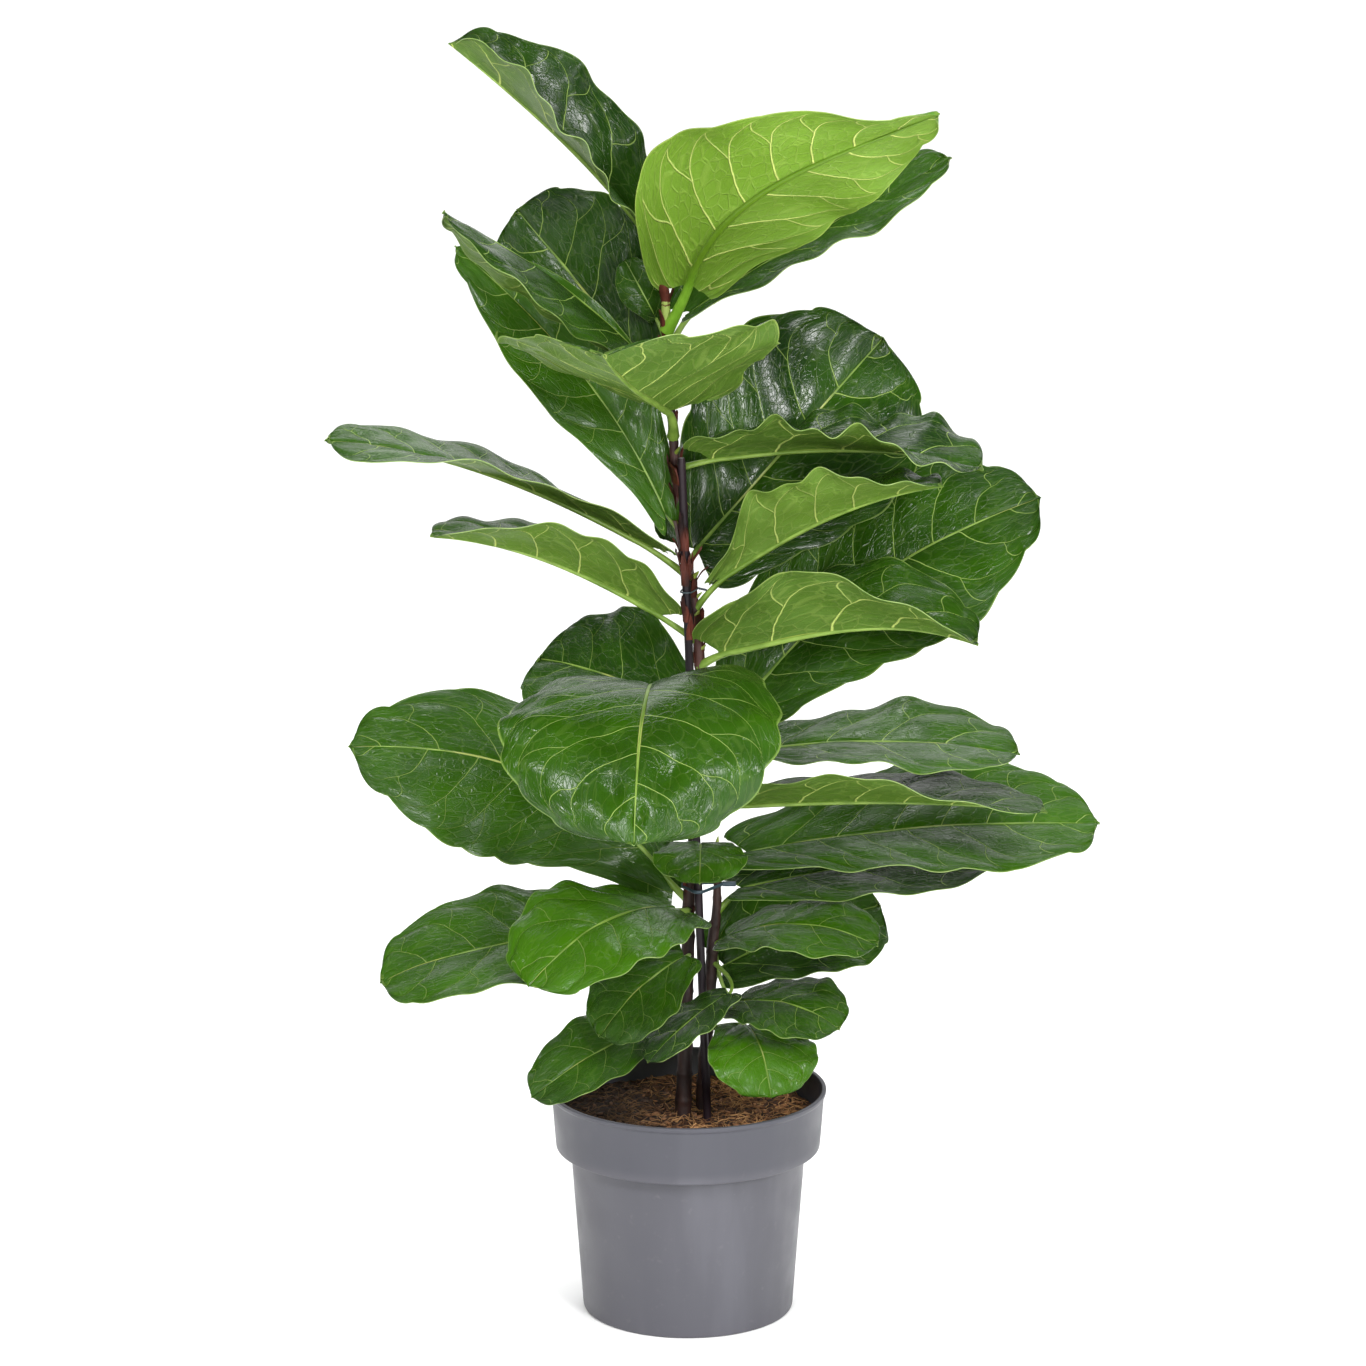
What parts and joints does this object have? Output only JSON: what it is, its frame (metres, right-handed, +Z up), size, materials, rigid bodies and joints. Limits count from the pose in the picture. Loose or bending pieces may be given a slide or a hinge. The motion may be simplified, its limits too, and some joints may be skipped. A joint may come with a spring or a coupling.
{
  "type": "potted fiddle leaf fig",
  "caption": "Potted fiddle leaf fig with large waved leaves spiralling up two staked woody stems, in a round tapered nursery pot with a deep collar.",
  "frame": {"origin": "middle of the pot's flat underside, where it stands", "axes": "+Z up, +X to the right and +Y away as seen in the picture"},
  "size_m": [0.7411, 0.3918, 1.2478],
  "materials": {
    "pot": "slate grey moulded plastic, satin",
    "soil": "loose coir and bark mix",
    "bark": "dark brown young bark",
    "stake": "dark stained cane",
    "clip": "dark slate plastic",
    "wire": "dark coated wire",
    "leaf": "glossy green above, paler and matte below",
    "young_leaf": "young yellow green leaf, satin"
  },
  "bodies": {
    "root": {"pot": "pot", "soil": "soil", "trunk": "bark", "side_stem": "bark", "stake": "stake", "clip": "clip", "wire_tie": "wire", "leaf_01": "leaf", "leaf_02": "young_leaf", "leaf_03": "leaf", "leaf_04": "leaf", "leaf_05": "leaf", "leaf_06": "leaf", "leaf_07": "leaf", "leaf_08": "leaf", "leaf_09": "leaf", "leaf_10": "leaf", "leaf_11": "leaf", "leaf_12": "leaf", "leaf_13": "leaf", "leaf_14": "leaf", "leaf_15": "leaf", "leaf_16": "leaf", "leaf_17": "leaf", "leaf_18": "leaf", "leaf_19": "leaf", "leaf_20": "leaf", "leaf_21": "leaf", "leaf_22": "leaf", "leaf_23": "leaf", "leaf_24": "leaf", "leaf_25": "leaf", "leaf_26": "leaf", "leaf_27": "leaf", "leaf_28": "leaf", "leaf_29": "leaf", "leaf_30": "leaf", "leaf_31": "leaf", "leaf_32": "leaf"}
  },
  "joints": []
}
